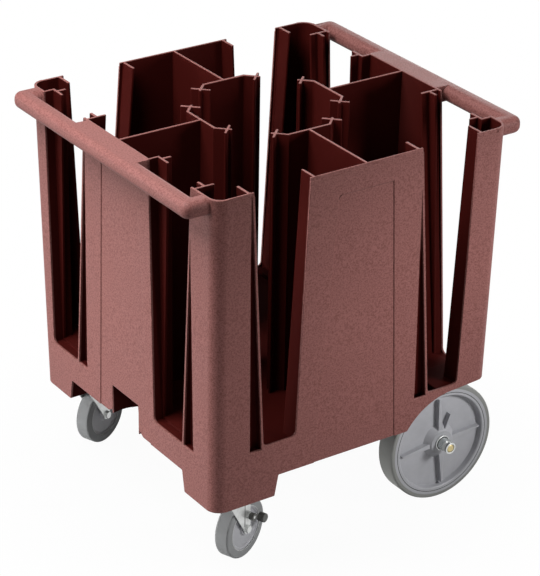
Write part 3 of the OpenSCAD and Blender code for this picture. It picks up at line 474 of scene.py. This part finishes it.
def round_edges(body):
    """Rounds the sharp edges of the joined body, by less where an edge has little room."""
    mesh = bmesh.new()
    mesh.from_mesh(body.data)
    bmesh.ops.remove_doubles(mesh, verts=mesh.verts, dist=SEAM_SLIVER)
    bmesh.ops.dissolve_degenerate(mesh, edges=mesh.edges, dist=SEAM_SLIVER)
    bmesh.ops.dissolve_degenerate(mesh, edges=mesh.edges, dist=SEAM_WELD)
    bmesh.ops.dissolve_limit(mesh, angle_limit=FLAT_ANGLE, verts=mesh.verts, edges=mesh.edges)
    many_sided = [face for face in mesh.faces if len(face.verts) > 4]
    bmesh.ops.triangulate(mesh, faces=many_sided, quad_method="BEAUTY", ngon_method="BEAUTY")
    weight = mesh.edges.layers.float.new("bevel_weight_edge")
    for face in mesh.faces:
        face.smooth = True
    for edge in mesh.edges:
        crease = len(edge.link_faces) == 2 and edge.calc_face_angle(0.0) > CREASE_ANGLE
        edge.smooth = not crease
        if crease:
            room = min(near.calc_length() for vert in edge.verts for near in vert.link_edges)
            share = min(1.0, ROOM_SHARE * room / EDGE_ROUNDING)
            edge[weight] = share if share > WEIGHT_LEAST else 0.0
    mesh.to_mesh(body.data)
    mesh.free()
    rounding = body.modifiers.new("rounding", "BEVEL")
    rounding.limit_method = "WEIGHT"
    rounding.width = EDGE_ROUNDING
    rounding.segments = EDGE_SEGMENTS
    rounding.use_clamp_overlap = False
    bake(body)
    low, high = (Vector(corner) for corner in CAD_BOX)
    for vert in body.data.vertices:
        vert.co = [min(max(c, a), b) for c, a, b in zip(vert.co, low, high)]


def moulded_body(look):
    """The moulding's sub-parts as one body without seams, with rounded edges."""
    nodes = [p["node"] for p in frame["record"]["subparts"] if p["material_slot"] == BODY_SLOT]
    body = joined("moulded_body", nodes)
    round_edges(body)
    body.data.materials.clear()
    body.data.materials.append(look)
    shading = body.modifiers.new("shading", "WEIGHTED_NORMAL")
    shading.keep_sharp = True
    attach(body, "chassis")
    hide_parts(*nodes)


def skin(mesh, rings, closed):
    """Faces through rings of points: a hoop that closes on itself, or a bar with ends."""
    corners = [[mesh.verts.new(point) for point in ring] for ring in rings]
    following = corners[1:] + corners[:1] if closed else corners[1:]
    for here, there in zip(corners, following):
        for i in range(len(here)):
            j = (i + 1) % len(here)
            mesh.faces.new((here[i], here[j], there[j], there[i]))
    if not closed:
        mesh.faces.new(corners[0])
        mesh.faces.new(corners[-1][::-1])
    bmesh.ops.recalc_face_normals(mesh, faces=mesh.faces)


def added_piece(name, mesh, look, body):
    """A new visible piece with its look, which rides a body."""
    data = bpy.data.meshes.new(name)
    mesh.to_mesh(data)
    mesh.free()
    data.materials.append(look)
    piece = linked(name, data)
    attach(piece, body)


def turned(name, joint, outward, section, look, body, slot, steps=TURN_STEPS):
    """A hoop turned round a joint's axis from its section in mm. Fewer steps leave facets."""
    axis = Vector(joint["axis"]).normalized()
    side = axis.cross(UP).normalized()
    upright = side.cross(axis)
    centre = Vector(joint["pos_m"])
    rings = []
    for step in range(steps):
        angle = 2.0 * math.pi * step / steps
        spoke = side * math.cos(angle) + upright * math.sin(angle)
        rings.append([centre + (spoke * r + axis * outward * along) * MM for r, along in section])
    mesh = bmesh.new()
    skin(mesh, rings, closed=True)
    for face in mesh.faces:
        face.smooth = True
    for edge in mesh.edges:
        edge.smooth = edge.calc_face_angle(0.0) < CREASE_ANGLE and steps == TURN_STEPS
    added_piece(name, mesh, look, body)


def bead(name, rings, look, body):
    """A bar with flat faces through rings of points."""
    mesh = bmesh.new()
    skin(mesh, rings, closed=False)
    added_piece(name, mesh, look, body)


def thread_section():
    """Section of the collar's threaded sleeve."""
    crests = []
    for turn in range(THREAD_TURNS):
        start = THREAD_FROM + turn * THREAD_PITCH
        crests += [(THREAD_ROOT, start), (THREAD_CREST, start + 0.5 * THREAD_PITCH)]
    end = THREAD_FROM + THREAD_TURNS * THREAD_PITCH
    return [*crests, (THREAD_ROOT, end), (THREAD_INNER, end), (THREAD_INNER, THREAD_FROM)]


def wheel_details(looks):
    """Painted shade at the tyre seams, collar gaps and fork folds, rings of painted highlight on
    the casters, and collar threads and rings, which the frame leaves plain.
    """
    joints = {joint["name"]: joint for joint in frame["joints"]}
    collar = (
        # The collar's gap ring is painted shade
        ("collar_gap_shade", COLLAR_GAP_SHADE, "painted_shade", "dark", TURN_STEPS),
        ("collar_thread", thread_section(), "dull", "zinc", TURN_STEPS),
        ("collar_ring", FACETED_RING, "zinc", "zinc", RING_FACETS),
        ("collar_lip", COLLAR_LIP, "dull", "zinc", TURN_STEPS),
        ("collar_end", END_RING, "zinc", "zinc", TURN_STEPS),
    )
    for side, outward in SIDES:
        wheel = f"rear_wheel_{side}"
        axle = joints[f"{wheel}_roll"]
        # A dark ring of painted shade along the tyre's seam
        turned(f"tyre_seam_shade_{side}", axle, outward, TYRE_SEAM_SHADE, looks["painted_shade"], wheel, "tyre")
        for name, section, look, slot, steps in collar:
            turned(f"{name}_{side}", axle, outward, section, looks[look], "chassis", slot, steps)
        wheel = f"caster_wheel_{side}"
        axle = joints[f"{wheel}_roll"]
        # Pale rings of painted highlight at the edges of each caster hub
        for face, way in (("outer", outward), ("inner", -outward)):
            name = f"caster_ring_{side}_{face}"
            turned(name, axle, way, CASTER_RING, looks["ring"], wheel, "tyre")
        # A dark bead of painted shade along the fork's fold
        fork_groove_shade(side, joints[f"swivel_{side}_turn"], axle, outward, looks["painted_shade"])


def fork_groove_shade(side, swivel, axle, outward, look):
    """The dark bead down the outer leg of a caster's fork: painted shade of its fold."""
    out = Vector(axle["axis"]).normalized() * outward
    pivot, wheel = Vector(swivel["pos_m"]), Vector(axle["pos_m"])
    trail = Vector((wheel.x - pivot.x, wheel.y - pivot.y, 0.0)).normalized()
    foot = Vector((pivot.x, pivot.y, 0.0)) + trail * GROOVE_TRAIL * MM
    rings = [
        [foot + (trail * across + out * rise + UP * z) * MM for across, rise in GROOVE_SECTION]
        for z in GROOVE_HEIGHTS
    ]
    bead(f"fork_groove_shade_{side}", rings, look, f"swivel_{side}")


def notch_ribs(look):
    """The two sides and the arched back of the pocket behind the front notch."""
    back, outer = NOTCH_BACK_X + NOTCH_RIB, NOTCH_HALF + NOTCH_RIB
    for side, way in SIDES:
        rings = []
        for step in range(NOTCH_SIDE_STEPS + 1):
            share = step / NOTCH_SIDE_STEPS
            x = NOTCH_FRONT_X + (back - NOTCH_FRONT_X) * share
            foot = NOTCH_FOOT_Z + NOTCH_SIDE_RISE * math.sin(math.pi * share)
            section = (
                (NOTCH_HALF, foot), (outer - NOTCH_DRAFT, foot),
                (outer, NOTCH_TOP_Z), (NOTCH_HALF, NOTCH_TOP_Z),
            )
            rings.append([Vector((x, way * y, z)) * MM for y, z in section])
        bead(f"notch_rib_{side}", rings, look, "chassis")
    rings = []
    for step in range(NOTCH_BACK_STEPS + 1):
        share = 2.0 * step / NOTCH_BACK_STEPS - 1.0
        foot = NOTCH_FOOT_Z + NOTCH_BACK_RISE * math.cos(0.5 * math.pi * share)
        section = (
            (NOTCH_BACK_X, foot), (back, foot),
            (back, NOTCH_TOP_Z), (NOTCH_BACK_X, NOTCH_TOP_Z),
        )
        rings.append([Vector((x, NOTCH_HALF * share, z)) * MM for x, z in section])
    bead("notch_rib_back", rings, look, "chassis")


def field_shadow_line(side, way, look):
    """A thin raised dark line of painted shadow along a field's upper edge, with a rounded corner
    at its left end.
    """
    bend = [math.radians(a) for a in range(90, 181, FIELD_BEND_STEP)]
    middle = Vector((FIELD_CORNER_R - FIELD_HALF, FIELD_TOP_Z - FIELD_CORNER_R))
    path = [Vector((FIELD_HALF, FIELD_TOP_Z))]
    path += [middle + Vector((math.cos(a), math.sin(a))) * FIELD_CORNER_R for a in bend]
    rings = []
    for i, point in enumerate(path):
        along = (path[min(i + 1, len(path) - 1)] - path[max(i - 1, 0)]).normalized()
        across = Vector((-along.y, along.x)) * LINE_HALF_W
        ring = []
        for share, out in LINE_SECTION:
            u, z = point + across * share
            wall = (FLOOR_HALF + (RIM_HALF_Y - FLOOR_HALF) * z * MM / RIM_Z) / MM
            ring.append(Vector((-way * u, way * (wall - FIELD_DEPTH + out), z)) * MM)
        rings.append(ring)
    bead(f"field_shadow_line_{side}", rings, look, "chassis")


def dress_frame(looks):
    """Gives every CAD node the look of its record slot."""
    slots = {p["node"]: p["material_slot"] for p in frame["record"]["subparts"]}
    for name, obj in frame["nodes"].items():
        look = looks["caster_tyre"] if name.startswith("caster_tyre") else looks[slots[name]]
        if not obj.data.materials:
            obj.data.materials.append(look)
        for slot in obj.material_slots:
            slot.link = "OBJECT"
            slot.material = look


def floor():
    """Pale floor that keeps a light shadow and shows white to the camera and in reflections."""
    s = Shader("floor")
    away = s.add("ShaderNodeVectorMath", operation="LENGTH")
    s.link(s.place(), away.inputs[0])
    share = s.ramp(away.outputs["Value"], FLOOR_NEAR, FLOOR_FAR, FLOOR_WHITE_NEAR, 1.0)
    diffuse = s.add("ShaderNodeBsdfDiffuse")
    s.feed(FLOOR_PALE, diffuse.inputs["Color"])
    glow = s.add("ShaderNodeEmission")
    s.feed(WHITE, glow.inputs["Color"])
    both = s.add("ShaderNodeMixShader")
    s.link(s.math("MULTIPLY", s.white_rays(), share), both.inputs[0])
    s.link(diffuse.outputs[0], both.inputs[1])
    s.link(glow.outputs[0], both.inputs[2])
    s.link(both.outputs[0], s.output.inputs["Surface"])
    bpy.ops.mesh.primitive_plane_add(size=FLOOR_SIZE, location=(0.0, 0.0, FLOOR_Z))
    plane = bpy.context.object
    plane.name = "floor"
    plane.data.materials.append(s.material)


def world():
    """White to the camera and in reflections, a soft pale fill to everything else."""
    studio = bpy.data.worlds.new("studio")
    bpy.context.scene.world = studio
    studio.use_nodes = True
    w = Nodes(studio.node_tree)
    background = w.tree.nodes["Background"]
    w.feed(WHITE, background.inputs["Color"])
    w.feed(w.ramp(w.white_rays(), 0.0, 1.0, WORLD_FILL, 1.0), background.inputs["Strength"])


def area_light(name, at, size, power, aim, spread):
    """A soft round lamp, which the camera doesn't see."""
    data = bpy.data.lights.new(name, "AREA")
    data.shape = "DISK"
    data.size = size
    data.energy = power
    data.spread = math.radians(spread)
    lamp = linked(name, data)
    lamp.location = at
    lamp.rotation_euler = (Vector(aim) - Vector(at)).to_track_quat("-Z", "Y").to_euler()
    lamp.visible_camera = False


def camera():
    """The photograph's camera: its place, direction and focal length."""
    data = bpy.data.cameras.new("camera")
    data.sensor_width = SENSOR_MM
    data.sensor_fit = "AUTO"
    data.lens = FOCAL_PX * SENSOR_MM / max(PICTURE_W, PICTURE_H)
    data.clip_end = CLIP_END
    forward = Vector((
        math.sin(CAMERA_YAW) * math.cos(CAMERA_PITCH),
        math.cos(CAMERA_YAW) * math.cos(CAMERA_PITCH),
        -math.sin(CAMERA_PITCH),
    ))
    level = Vector((math.cos(CAMERA_YAW), -math.sin(CAMERA_YAW), 0.0))
    upward = level.cross(forward)
    right = level * math.cos(CAMERA_ROLL) + upward * math.sin(CAMERA_ROLL)
    up = upward * math.cos(CAMERA_ROLL) - level * math.sin(CAMERA_ROLL)
    turn = Matrix((right, up, -forward)).transposed().to_4x4()
    cam = linked("camera", data)
    cam.matrix_world = Matrix.Translation(CAMERA_AT) @ turn
    bpy.context.scene.camera = cam


def main():
    """Dresses the frame, adds the new pieces, and sets up the studio."""
    bpy.context.scene.view_settings.view_transform = "Standard"
    looks = {
        "body": moulded_brown(),
        "hub": grey_plastic(),
        "tyre": grey_rubber("grey_rubber", TYRE_GREY),
        "caster_tyre": grey_rubber("caster_rubber", CASTER_TREAD),
        "zinc": plated_steel("zinc_plate", ZINC, 0.30),
        "yellow_zinc": plated_steel("yellow_zinc_plate", YELLOW_ZINC, 0.32),
        "dark": dark_plastic(),
        "dull": plated_steel("dull_zinc_plate", DULL_ZINC, 0.38),
        # Painted shade for the dark seam, gap and fold pieces
        "painted_shade": grey_rubber("painted_shade_rubber", SEAM_SHADE_GREY),
        # Painted highlight for the pale caster rings
        "ring": grey_rubber("painted_highlight_rubber", RING_HIGHLIGHT_GREY),
        # Painted shadow for the line under each field's edge
        "line": grey_rubber("painted_shadow_brown", FIELD_SHADOW_BROWN),
    }
    dress_frame(looks)
    moulded_body(looks[BODY_SLOT])
    wheel_details(looks)
    notch_ribs(looks[BODY_SLOT])
    # Painted shadow lines under the fields' upper edges
    for side, way in SIDES:
        field_shadow_line(side, way, looks["line"])
    floor()
    world()
    for lamp in LAMPS:
        area_light(*lamp)
    camera()


main()
